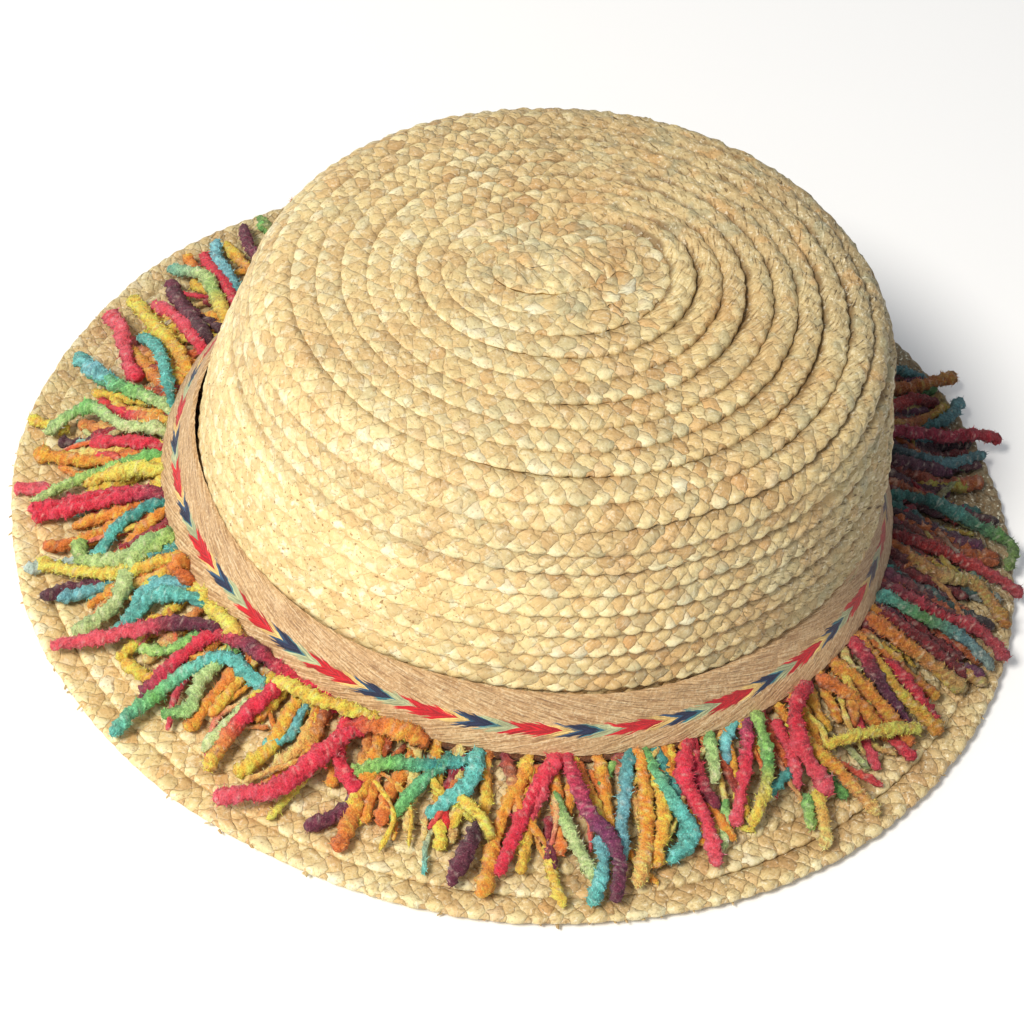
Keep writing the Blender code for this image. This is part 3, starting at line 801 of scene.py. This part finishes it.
def strand_tube(strand, rng, sides, step):
    """A two-ply tube's points, dyes and middle line.

    Its size is radius (0.86 + 0.12 |cos(turn - twist)| to the power 1.3), times lumps, grain and
    tapered ends. The dyes run from root to tip, with painted shade in the valleys and painted
    shadow on the right, where the crown shades the fringe.
    """
    layer, radius, dyes, points = strand
    radius = radius * MM
    angle, reach, t = strand_path(points, step)
    length = t[-1]
    share = t / length
    wave = rng.uniform(0, 6.28, 3)
    angle = angle + 0.0045 * np.sin(t / 0.0065 + wave[0]) * smooth(0, 0.3, share)
    floor = brim_top(np.minimum(reach, BRIM_WIDTH)) + 0.0016
    lift = layer * LAYER_RISE * np.sin(math.pi * np.clip(share * 1.05, 0, 1)) ** 0.6
    lift = lift + 0.0006 * np.sin(t / 0.009 + wave[1]) ** 2 + 0.0007 * layer
    height = floor + radius * 0.85 + lift
    near = smooth(0.013, 0.009, reach)
    height = height * (1 - near) + near * np.minimum(height, HEADER_TOP - radius * 0.55)
    centre = oval(reach, height, angle)
    along = unit(np.gradient(centre, axis=0))
    side = unit(np.cross(along, [0, 0, 1.0]))
    up = np.cross(side, along)
    turn = circle(sides)[None, :]
    twist = (2 * math.pi * t / PLY_TURN + wave[2])[:, None]
    lobes = 0.86 + 0.12 * np.abs(np.cos(turn - twist)) ** 1.3
    lumps = 1 + 0.32 * soft_noise(t[:, None], turn * radius, 0.0011, int(rng.integers(1e6)))
    lumps = lumps + 0.20 * soft_noise(t, 0 * t, 0.0040, int(rng.integers(1e6)))[:, None]
    grain = rng.uniform(0.80, 1.20, (len(t), sides))
    ends = np.sqrt(np.clip(np.minimum(t + 0.0006, length - t + 0.0003) / 0.0016, 0.03, 1))[:, None]
    size = 0.95 * radius * lobes * lumps * grain * ends
    round_it = np.cos(turn)[..., None] * side[:, None, :] + np.sin(turn)[..., None] * up[:, None, :] * 0.94
    points = centre[:, None, :] + size[..., None] * round_it
    stops = [linear(DYES[name]) for name in dyes.split()]
    if len(stops) == 1:
        stops = stops * 2
    at = np.linspace(0, 1, len(stops))
    mixed = np.clip(share + 0.05 * rng.normal(0, 1), 0, 1)
    tint = np.stack([np.interp(mixed, at, [s[k] for s in stops]) for k in range(3)], -1)
    tint = np.broadcast_to(tint[:, None, :], points.shape)
    # Painted shade in the valleys between lumps, and painted shadow on the right side of the fringe.
    valley = 0.70 + 0.42 * np.clip((lumps * grain - 0.6) / 0.7, 0, 1)
    mottle = np.exp(rng.normal(0.05, 0.24, size.shape))
    tint = tint * (valley * mottle * rng.uniform(0.9, 1.1))[..., None] * np.array([1.52, 1.32, 1.05])
    shadow = smooth(-0.03, 0.100, 0.96 * centre[:, 0] + 0.28 * centre[:, 1])[:, None, None]
    tint = np.clip(tint, 0, 1) * (1 - 0.66 * shadow)
    spark = (rng.random(size.shape) < 0.05)[..., None] * 0.25
    tint = tint * (1 - spark) + spark * np.array([0.95, 0.86, 0.72])
    return points, tint, centre


def tube_grain(strand):
    """Sides and step of a strand's tube: fine on top, coarser below and for thin wisps."""
    if strand[1] < 1.5:
        return 6, 0.0009
    return (10, 0.0006) if strand[0] else (8, 0.0008)


def make_fringe(material, fuzz_material):
    """The strands as tubes in three pieces, and short bristles all over them in the tubes' tints,
    painted shade included.
    """
    rng = np.random.default_rng(7)
    strands = read_strands(STRANDS) + back_strands()
    tubes = [strand_tube(s, rng, *tube_grain(s)) for s in strands]
    groups = np.array_split(np.arange(len(tubes)), 3)
    for number, group in enumerate(groups):
        points, quads, caps, tints = [], [], [], []
        first = 0
        for index in group:
            grid, tint = tubes[index][:2]
            rows, columns = grid.shape[:2]
            points.append(grid.reshape(-1, 3))
            tints.append(tint.reshape(-1, 3))
            quads.append(closed_faces(rows, columns, False, first))
            caps.append(end_caps(rows, columns, first))
            first += rows * columns
        faces = [np.concatenate(quads)] + caps
        make_piece(f"fringe_strands_{number + 1}", np.concatenate(points), faces, material, "fringe",
                   None, np.concatenate(tints))

    for number, half in enumerate(np.array_split(np.arange(len(tubes)), 2)):
        make_fuzz(f"fringe_fuzz_{number + 1}", [tubes[index] for index in half], rng, fuzz_material)


def make_fuzz(name, tubes, rng, material):
    """Bristles all over the tubes: thin three-sided spikes along a random turn of the normal."""
    roots, ways, dyes = [], [], []
    for grid, tint, centre in tubes:
        count = int(len(centre) * {10: 6.0, 8: 3.4, 6: 2.6}[grid.shape[1]])
        pick = rng.integers(0, len(centre), count)
        corner = rng.integers(0, grid.shape[1], count)
        root = grid[pick, corner]
        out = root - centre[pick]
        out /= np.linalg.norm(out, axis=1, keepdims=True) + 1e-9
        way = unit(out + rng.normal(0, 0.8, (count, 3)))
        roots.append(root - out * 0.0002)
        ways.append(way * rng.uniform(0.0006, 0.0017, (count, 1)))
        # Each bristle takes the tube's tint at its root, with its painted shade and shadow.
        dyes.append(tint[pick, corner] * rng.uniform(0.8, 1.8, (count, 1)) + 0.02)
    root = np.concatenate(roots)
    way = np.concatenate(ways)
    dye = np.concatenate(dyes)
    side = np.cross(way, rng.normal(0, 1, way.shape))
    side *= BRISTLE / np.linalg.norm(side, axis=1, keepdims=True)
    other = np.cross(way, side)
    other *= BRISTLE / np.linalg.norm(other, axis=1, keepdims=True)
    corners = [root + side, root - side / 2 + other * 0.87, root - side / 2 - other * 0.87, root + way]
    points = np.stack(corners, axis=1)
    points[..., 2] = np.maximum(points[..., 2], 0.0003)
    tint = np.clip(np.repeat(dye[:, None, :], 4, axis=1), 0, 1)
    spike = np.array([[0, 2, 1], [0, 1, 3], [1, 2, 3], [2, 0, 3]])
    faces = (np.arange(len(root))[:, None, None] * 4 + spike).reshape(-1, 3)
    make_piece(name, points, [faces], material, "fringe", None, tint)


def make_header(material):
    """The stitched tape that the strands hang from: a flat rounded ring under the band."""
    sides, stations = 12, 500
    bottom = float(lock_floor(HEADER_OUTER))
    turn = circle(sides)
    middle = (HEADER_INNER + HEADER_OUTER) / 2
    half = (HEADER_OUTER - HEADER_INNER) / 2
    across = middle + half * np.sign(np.cos(turn)) * np.abs(np.cos(turn)) ** 0.5
    rise = (HEADER_TOP - bottom) / 2 * np.sign(np.sin(turn)) * np.abs(np.sin(turn)) ** 0.5
    height = (HEADER_TOP + bottom) / 2 + rise
    angle = circle(stations)[:, None]
    rib = 0.00025 * np.sin(angle * 220)
    low = np.maximum(lock_floor(across) - bottom, 0)
    height = height[None, :] + low[None, :] * 0.3 + 0 * angle
    points = oval(across[None, :] + rib, height, angle + 0 * across)
    shade = np.random.default_rng(3).uniform(0.5, 1.0, (stations, 1))
    tint = linear((150, 92, 52)) * shade[..., None] + 0 * points
    make_piece("fringe_header", points, [closed_faces(stations, sides, True)], material, "fringe",
               None, tint)


class Nodes:
    """Short calls that add a node, set what is given and return its output socket."""

    def __init__(self, tree):
        self.tree = tree

    def put(self, socket, value):
        """Link a socket, or set a number or colour on it."""
        if isinstance(value, bpy.types.NodeSocket):
            self.tree.links.new(value, socket)
        else:
            socket.default_value = value

    def add(self, kind, *values, **settings):
        """A node of the kind with its settings, and with the values on its first inputs."""
        node = self.tree.nodes.new(kind)
        for key, setting in settings.items():
            setattr(node, key, setting)
        for socket, value in zip(node.inputs, values):
            self.put(socket, value)
        return node

    def math(self, operation, *values, clamp=False):
        """A Math node's result."""
        return self.add("ShaderNodeMath", *values, operation=operation, use_clamp=clamp).outputs[0]

    def times(self, first, second):
        """The product of two values."""
        return self.math("MULTIPLY", first, second)

    def plus(self, first, second):
        """The sum of two values."""
        return self.math("ADD", first, second)

    def minus(self, first, second):
        """The first value less the second."""
        return self.math("SUBTRACT", first, second)

    def mix(self, share, first, second, blend="MIX"):
        """Two colours mixed by a share, none above white."""
        node = self.add("ShaderNodeMix", share, data_type="RGBA", blend_type=blend, clamp_result=True)
        self.put(node.inputs[6], first)
        self.put(node.inputs[7], second)
        return node.outputs[2]

    def stain(self, shade, stains):
        """The shade with each stain laid over it in turn: a share, and a display colour."""
        for share, colour in stains:
            shade = self.mix(share, shade, paint(colour))
        return shade

    def step(self, value, low, high, start=0.0, stop=1.0):
        """A smooth step from start to stop as the value goes from low to high."""
        values = (value, low, high, start, stop)
        return self.add("ShaderNodeMapRange", *values, interpolation_type="SMOOTHSTEP").outputs[0]

    def join(self, x, y, z=0.0):
        """Three values as a vector."""
        return self.add("ShaderNodeCombineXYZ", x, y, z).outputs[0]

    def split(self, vector):
        """A vector's three values."""
        return self.add("ShaderNodeSeparateXYZ", vector).outputs

    def parts(self, colour):
        """A colour's three values."""
        return self.add("ShaderNodeSeparateColor", colour).outputs

    def tint(self):
        """The colour that the mesh's own points carry."""
        return self.add("ShaderNodeAttribute", attribute_name="tint").outputs["Color"]

    def place(self):
        """Where the point is in the piece's own space."""
        return self.add("ShaderNodeTexCoord").outputs["Object"]

    def noise(self, vector, scale, detail=2.0, rough=0.5, output=0):
        """A Noise Texture's value, or its colour."""
        node = self.add("ShaderNodeTexNoise")
        self.put(node.inputs["Vector"], vector)
        for label, value in (("Scale", scale), ("Detail", detail), ("Roughness", rough)):
            node.inputs[label].default_value = value
        return node.outputs[output]

    def ramp(self, share, stops, interpolation="LINEAR"):
        """A colour ramp through the stops, each a position and a display colour."""
        node = self.add("ShaderNodeValToRGB", share)
        node.color_ramp.interpolation = interpolation
        elements = node.color_ramp.elements
        while len(elements) < len(stops):
            elements.new(0.5)
        for element, (position, colour) in zip(elements, stops):
            element.position = position
            element.color = paint(colour)
        return node.outputs[0]

    def finish(self, shader, shade, height, distance, strength, values):
        """Give a shader its colour, its plain values and a bump of a height."""
        self.put(shader.inputs["Base Color"], shade)
        for label, value in values:
            self.put(shader.inputs[label], value)
        bump = self.add("ShaderNodeBump")
        bump.inputs["Distance"].default_value = distance
        bump.inputs["Strength"].default_value = strength
        self.put(bump.inputs["Height"], height)
        self.put(shader.inputs["Normal"], bump.outputs[0])


def plait_group():
    """The plait's pattern from its map in mm: each kernel's numbers, creases, height and fibre."""
    inputs = (("Map", "NodeSocketVector"), ("Cord", "NodeSocketFloat"), ("Pitch", "NodeSocketFloat"))
    outputs = ("Random", "Second", "Third", "Light", "Crease", "Height", "Fibre", "Lean", "Lap", "Streak")
    tree = bpy.data.node_groups.new("plait", "ShaderNodeTree")
    for label, kind in inputs:
        tree.interface.new_socket(label, in_out="INPUT", socket_type=kind)
    for label in outputs:
        tree.interface.new_socket(label, in_out="OUTPUT", socket_type="NodeSocketFloat")
    source = tree.nodes.new("NodeGroupInput")
    result = tree.nodes.new("NodeGroupOutput")
    n = Nodes(tree)
    cord = source.outputs["Cord"]
    x, y = n.split(source.outputs["Map"])[:2]
    shift = n.parts(n.noise(n.join(x, y), 0.42, 1.0, output="Color"))
    bent_x = n.plus(x, n.times(n.minus(shift[0], 0.5), 2.4))
    bent_y = n.plus(y, n.times(n.minus(shift[1], 0.5), 2.0))
    px = n.math("DIVIDE", bent_x, KERNEL_LENGTH / MM)
    py = n.math("DIVIDE", n.minus(bent_y, KERNEL_START / MM), KERNEL_WIDTH / MM)
    p = n.plus(px, py)
    q = n.minus(px, py)
    cp = n.math("FLOOR", p)
    cq = n.math("FLOOR", q)
    up = n.minus(n.minus(p, cp), 0.5)
    uq = n.minus(n.minus(q, cq), 0.5)
    fp = n.times(n.math("ABSOLUTE", up), 2.0)
    fq = n.times(n.math("ABSOLUTE", uq), 2.0)
    chance = n.add("ShaderNodeTexWhiteNoise", n.join(cp, cq, 3.7), noise_dimensions="3D")
    random, second, third = n.parts(chance.outputs["Color"])
    # The outer row of kernels, which the straw takes paler: painted light, as if that row catches the
    # light.
    light = n.math("COMPARE", n.minus(cp, cq), 0.0, 0.5)
    body = n.times(n.minus(1.0, n.math("POWER", fp, 2.2)), n.minus(1.0, n.math("POWER", fq, 2.2)))
    pillow = n.math("SQRT", n.math("MAXIMUM", body, 0.0))
    flat = n.minus(1.0, n.times(cord, 0.55))
    patchy = n.step(n.noise(n.join(x, y), 0.5), 0.40, 0.64)
    # The creases between kernels, painted as shade by the straw.
    crease = n.step(n.math("MAXIMUM", fp, fq), 0.88, 1.0)
    crease = n.times(n.times(crease, patchy), flat)
    lean_way = n.math("GREATER_THAN", third, 0.5)
    back_way = n.minus(1.0, lean_way)
    lane = n.plus(n.times(p, lean_way), n.times(q, back_way))
    other = n.plus(n.times(q, lean_way), n.times(p, back_way))
    splint = n.noise(n.join(n.times(lane, 9.0), n.times(other, 1.4), random), 1.0, 3.0, 0.6)
    streak_x = n.plus(n.times(x, 0.17), n.times(y, 0.20))
    streak_y = n.minus(n.times(y, 1.5), n.times(x, 0.60))
    streak = n.noise(n.join(streak_x, streak_y), 1.0, 5.0, 0.66)
    fibre = n.plus(n.times(splint, n.minus(1.0, cord)), n.times(streak, cord))
    tilt = n.times(n.minus(second, 0.5), up)
    height = n.times(n.plus(pillow, tilt), flat)
    height = n.plus(height, n.times(fibre, 0.35))
    # Lean rises toward each kernel's tucked side, painted as shade by the straw.
    lean = n.times(n.minus(up, uq), flat)
    # Lap marks the strip under the next row's lip, painted as shade by the straw.
    lap = n.step(n.minus(y, source.outputs["Pitch"]), -1.5, -0.1)
    values = (random, second, third, light, crease, height, fibre, lean, lap, streak)
    for label, value in zip(outputs, values):
        n.put(result.inputs[label], value)
    return tree


def start_material(name):
    """A material, the calls that add its nodes and its Principled shader."""
    material = bpy.data.materials.new(name)
    material.use_nodes = True
    shader = material.node_tree.nodes["Principled BSDF"]
    return material, Nodes(material.node_tree), shader


def straw_material(name, group, pitch, cool, dark, grit):
    """Straw: each kernel takes one of the straw's shades, with creases, fibre, flecks and gloss,
    and with painted light and painted shade laid over them.

    cool is how grey the greyest kernels are, dark how strong the painted shade in the creases and
    grit the share of fine dark and pale specks.
    """
    material, n, shader = start_material(name)
    uv = n.add("ShaderNodeUVMap", uv_map="straw")
    cord, flecked_and_lit, dulled_and_shaded = n.parts(n.tint())
    plait = n.add("ShaderNodeGroup", node_tree=group)
    n.put(plait.inputs["Map"], uv.outputs[0])
    n.put(plait.inputs["Cord"], cord)
    plait.inputs["Pitch"].default_value = pitch / MM
    kernel = plait.outputs
    place = n.place()
    patch = n.noise(place, 60.0, 3.0)
    # calm is lowest on the lit left: less kernel contrast and less painted shade in the creases, laps and
    # tucked sides.
    calm = n.minus(1.0, n.times(flecked_and_lit, 0.6))
    tip = (TIP_SHIFT_ALONG, TIP_SHIFT_ACROSS, CROWN_BASE + CROWN_HEIGHT)
    from_tip = n.add("ShaderNodeVectorMath", place, tip, operation="DISTANCE")
    quiet = n.step(from_tip.outputs["Value"], 0.018, 0.028, 1.0, 0.0)

    loose = n.minus(1.0, n.times(cord, 0.8))
    # The outer row of kernels takes paler shades: painted light.
    own = n.plus(n.times(kernel["Random"], 0.42), n.times(kernel["Light"], 0.32))
    run_on = n.plus(n.times(n.minus(kernel["Streak"], 0.5), 1.3), 0.34)
    pick = n.plus(n.times(own, loose), n.times(run_on, n.minus(1.0, loose)))
    pick = n.plus(pick, n.times(n.minus(patch, 0.5), 1.1))
    # Painted light: paler shades on the lit left.
    pick = n.plus(pick, n.times(flecked_and_lit, 0.10))
    shade = n.ramp(n.math("ADD", pick, 0.06, clamp=True), STRAW_SHADES)

    blotch = n.noise(place, 260.0, 3.0, 0.6)
    hue = n.noise(place, 130.0)
    speck = n.noise(place, 1000.0, 1.0)
    fine = n.noise(place, 900.0, 3.0, 0.65)
    pits = n.step(kernel["Streak"], 0.42, 0.34)
    glint = n.step(kernel["Streak"], 0.56, 0.66)
    grey = n.times(n.step(kernel["Second"], 0.78, 0.92), n.times(calm, cool))
    ruddy = n.times(n.step(kernel["Third"], 0.86, 0.96), n.times(calm, 0.55))
    mixed = n.math("MAXIMUM", cord, n.times(quiet, 0.9))
    # How strong the painted shade under each row's lip is: more on the cords, less near the tip.
    edge = n.times(n.plus(0.42, n.times(cord, 0.40)), n.minus(1.0, n.times(quiet, 0.85)))
    # Fine dark and pale specks, more of them where the painted shade lies.
    fine_specks = n.plus(grit, n.times(dulled_and_shaded, 0.20))
    shade = n.stain(shade, (
        # Painted light: the lit left is washed toward pale cream and gets more blotches.
        (n.times(flecked_and_lit, 0.5), (242, 221, 160)),
        (n.times(n.step(blotch, 0.50, 0.38), n.plus(n.times(flecked_and_lit, 0.40), 0.12)), (232, 192, 132)),
        (n.times(n.step(blotch, 0.56, 0.66), n.plus(n.times(flecked_and_lit, 0.55), 0.15)), (255, 250, 216)),
        (n.times(grey, loose), (186, 178, 138)),
        (n.times(ruddy, loose), (226, 168, 104)),
        (n.times(n.step(kernel["Fibre"], 0.50, 0.30), n.times(calm, 0.38)), (192, 148, 92)),
        (n.step(kernel["Fibre"], 0.56, 0.76, 0.0, 0.45), (255, 251, 226)),
        # Painted shade on each kernel's tucked side.
        (n.times(n.step(kernel["Lean"], 0.05, 0.8), n.times(calm, 0.52)), (190, 148, 94)),
        # Painted shade on the side away from the key light: greyed, with dark pits and painted glints; past
        # a share of 1.1, the darkest painted shade, the crown's shadow on the brim.
        (n.times(dulled_and_shaded, 0.62), (170, 152, 114)),
        (n.times(pits, n.times(dulled_and_shaded, 0.80)), (84, 66, 46)),
        (n.times(glint, n.times(dulled_and_shaded, 0.66)), (242, 226, 188)),
        (n.step(dulled_and_shaded, 1.10, 2.20, 0.0, 0.80), (112, 96, 74)),
        (n.times(n.step(hue, 0.44, 0.34), n.times(mixed, 0.50)), (160, 160, 130)),
        (n.times(n.step(hue, 0.58, 0.66), n.times(mixed, 0.42)), (208, 156, 92)),
        (n.times(n.step(speck, 0.66, 0.71), n.plus(n.times(flecked_and_lit, 0.70), 0.10)), (150, 104, 56)),
        # Painted shade in the creases and under each row's lip.
        (n.times(kernel["Crease"], n.times(calm, dark)), (132, 98, 56)),
        (n.times(kernel["Lap"], n.times(edge, calm)), (112, 84, 48)),
        (n.times(n.step(fine, 0.47, 0.34), fine_specks), (130, 98, 60)),
        (n.times(n.step(fine, 0.56, 0.70), n.plus(fine_specks, 0.10)), (255, 250, 226)),
    ))
    height = n.plus(n.times(kernel["Height"], calm), n.times(fine, n.plus(0.25, n.times(dulled_and_shaded, 0.5))))
    height = n.minus(height, n.times(pits, n.times(dulled_and_shaded, 0.5)))
    rough = n.plus(0.46, n.times(kernel["Random"], 0.2))
    n.finish(shader, shade, height, 0.0006, 0.85, (("Roughness", rough), ("Specular IOR Level", 0.4)))
    return material


def band_material():
    """Jute threads in a wide V, with a row of coloured arrows along the middle."""
    material, n, shader = start_material("band jute")
    uv = n.add("ShaderNodeUVMap", uv_map="straw")
    repeat, across = n.split(uv.outputs[0])[:2]
    side = n.minus(across, CHEVRON_MIDDLE)
    away = n.math("ABSOLUTE", side)
    half = n.math("SIGN", side)
    lane = n.plus(n.times(away, BAND_WIDTH / MM), n.times(repeat, CHEVRON_LENGTH / MM * THREAD_SLANT))
    thread = n.noise(n.join(n.times(lane, 2.6), n.times(repeat, 3.0), half), 1.0, 3.0, 0.6)
    cell = n.join(n.math("FLOOR", n.times(lane, 3.0)), half)
    strand = n.add("ShaderNodeTexWhiteNoise", cell, noise_dimensions="2D")
    strand = n.minus(strand.outputs["Value"], 0.5)
    wobble = n.plus(n.times(n.minus(thread, 0.5), 0.15), n.times(strand, 0.04))
    place = n.place()
    fibre = n.noise(place, 1300.0, 2.0, 0.6)
    jute = n.stain(n.ramp(thread, JUTE_SHADES), (
        (n.times(n.noise(place, 60.0), 0.35), (190, 148, 108)),
        (n.step(fibre, 0.50, 0.36, 0.0, 0.36), (150, 108, 72)),
        (n.step(fibre, 0.56, 0.68, 0.0, 0.40), (250, 228, 188)),
    ))
    in_arrow = n.math("FRACT", n.plus(n.plus(repeat, n.times(away, 2.0)), wobble))
    motif = n.ramp(in_arrow, ARROW_COLOURS, "CONSTANT")
    ragged = n.plus(n.times(wobble, 0.12), n.times(strand, 0.05))
    inside = n.step(n.plus(away, ragged), 0.090, 0.108, 1.0, 0.0)
    streak = n.step(thread, 0.35, 0.68, 0.55, 1.25)
    motif = n.mix(1.0, motif, n.join(streak, streak, streak), "MULTIPLY")
    shaded = n.step(n.split(place)[0], 0.045, 0.095, 0.0, 0.50)
    shade = n.stain(n.mix(inside, jute, motif), ((shaded, (128, 100, 84)),))
    height = n.plus(thread, n.times(fibre, 0.5))
    n.finish(shader, shade, height, 0.0007, 0.9, (("Roughness", 0.85), ("Sheen Weight", 0.15)))
    return material


def yarn_material(name):
    """Wool in the strand's dye as its points carry it, painted shade included, speckled with darker
    and lighter copies: painted shade and painted highlights on the fibre.
    """
    material, n, shader = start_material(name)
    shade = n.tint()
    place = n.place()
    mottle = n.noise(place, 640.0, 5.0, 0.80)
    hairs = n.noise(place, 1900.0, 2.0, 0.7)
    # Shaded and lit copies of the tint, laid on in specks: painted shade and painted highlights.
    dark = n.mix(1.0, shade, (0.36, 0.26, 0.25, 1), "MULTIPLY")
    light = n.mix(1.0, shade, (1.9, 1.8, 1.6, 1), "MULTIPLY")
    light = n.mix(0.14, light, (1.0, 0.88, 0.68, 1))
    shade = n.mix(n.step(mottle, 0.47, 0.33, 0.0, 0.70), shade, dark)
    shade = n.mix(n.step(mottle, 0.53, 0.68, 0.0, 0.75), shade, light)
    shade = n.mix(n.step(hairs, 0.46, 0.35, 0.0, 0.45), shade, dark)
    shade = n.mix(n.step(hairs, 0.56, 0.66, 0.0, 0.60), shade, light)
    n.finish(shader, shade, n.plus(mottle, n.times(hairs, 0.6)), 0.0012, 1.0, WOOL)
    return material


def fuzz_material():
    """Wool in the bristle's own dye, with the painted shade that its tube's tint carries."""
    material, n, shader = start_material("fringe fuzz")
    n.put(shader.inputs["Base Color"], n.tint())
    for label, value in WOOL:
        shader.inputs[label].default_value = value
    return material


def floor_material():
    """A matt white surface with a faint grain."""
    material, n, shader = start_material("floor")
    grain = n.times(n.noise(n.place(), 30.0), 0.04)
    n.put(shader.inputs["Base Color"], n.mix(grain, paint((253, 253, 253)), (0.9, 0.9, 0.9, 1)))
    shader.inputs["Roughness"].default_value = 0.9
    return material


def make_stage():
    """A pale floor, one soft key light at the front left, a pale sky and the camera."""
    mesh = bpy.data.meshes.new("floor")
    corners = [(x, y, -0.0002) for x, y in ((-4, -4), (4, -4), (4, 4), (-4, 4))]
    mesh.from_pydata(corners, [], [(0, 1, 2, 3)])
    mesh.materials.append(floor_material())
    floor = bpy.data.objects.new("floor", mesh)
    bpy.context.scene.collection.objects.link(floor)

    toward = Vector((-0.60, -0.24, 0.77)).normalized()
    lamp = bpy.data.lights.new("key", "AREA")
    lamp.shape = "DISK"
    lamp.size = 0.45
    lamp.energy = 28.5
    lamp.color = (1.0, 0.955, 0.88)
    key = bpy.data.objects.new("key", lamp)
    key.location = toward * 1.7
    key.rotation_mode = "QUATERNION"
    key.rotation_quaternion = toward.to_track_quat("Z", "Y")
    bpy.context.scene.collection.objects.link(key)

    world = bpy.data.worlds.new("studio")
    world.use_nodes = True
    background = world.node_tree.nodes["Background"]
    background.inputs["Color"].default_value = (0.93, 0.96, 1.0, 1)
    background.inputs["Strength"].default_value = 0.45
    bpy.context.scene.world = world

    lens = bpy.data.cameras.new("camera")
    lens.lens = 83.2
    lens.sensor_width = 36.0
    lens.clip_start = 0.01
    camera = bpy.data.objects.new("camera", lens)
    spot = Vector((-0.2174, -0.4014, 0.5095))
    back = spot - Vector((-0.0267, -0.0425, 0.0544))
    aim = back.to_track_quat("Z", "Y").to_matrix().to_4x4()
    roll = Matrix.Rotation(math.radians(13.04), 4, "Z")
    camera.matrix_world = Matrix.Translation(spot) @ (aim @ roll)
    bpy.context.scene.collection.objects.link(camera)
    bpy.context.scene.camera = camera
    bpy.context.scene.view_settings.view_transform = "Standard"


plait = plait_group()
crown_straw = straw_material("crown straw", plait, CROWN_PITCH, 0.60, 0.50, 0.16)
make_crown(crown_straw)
make_tip_cap(crown_straw)
brim_straw = straw_material("brim straw", plait, BRIM_PITCH, 0.30, 0.80, 0.36)
make_brim(brim_straw)
make_ends(brim_straw)
make_band(band_material())
make_fringe(yarn_material("fringe yarn"), fuzz_material())
make_header(yarn_material("header yarn"))
make_stage()
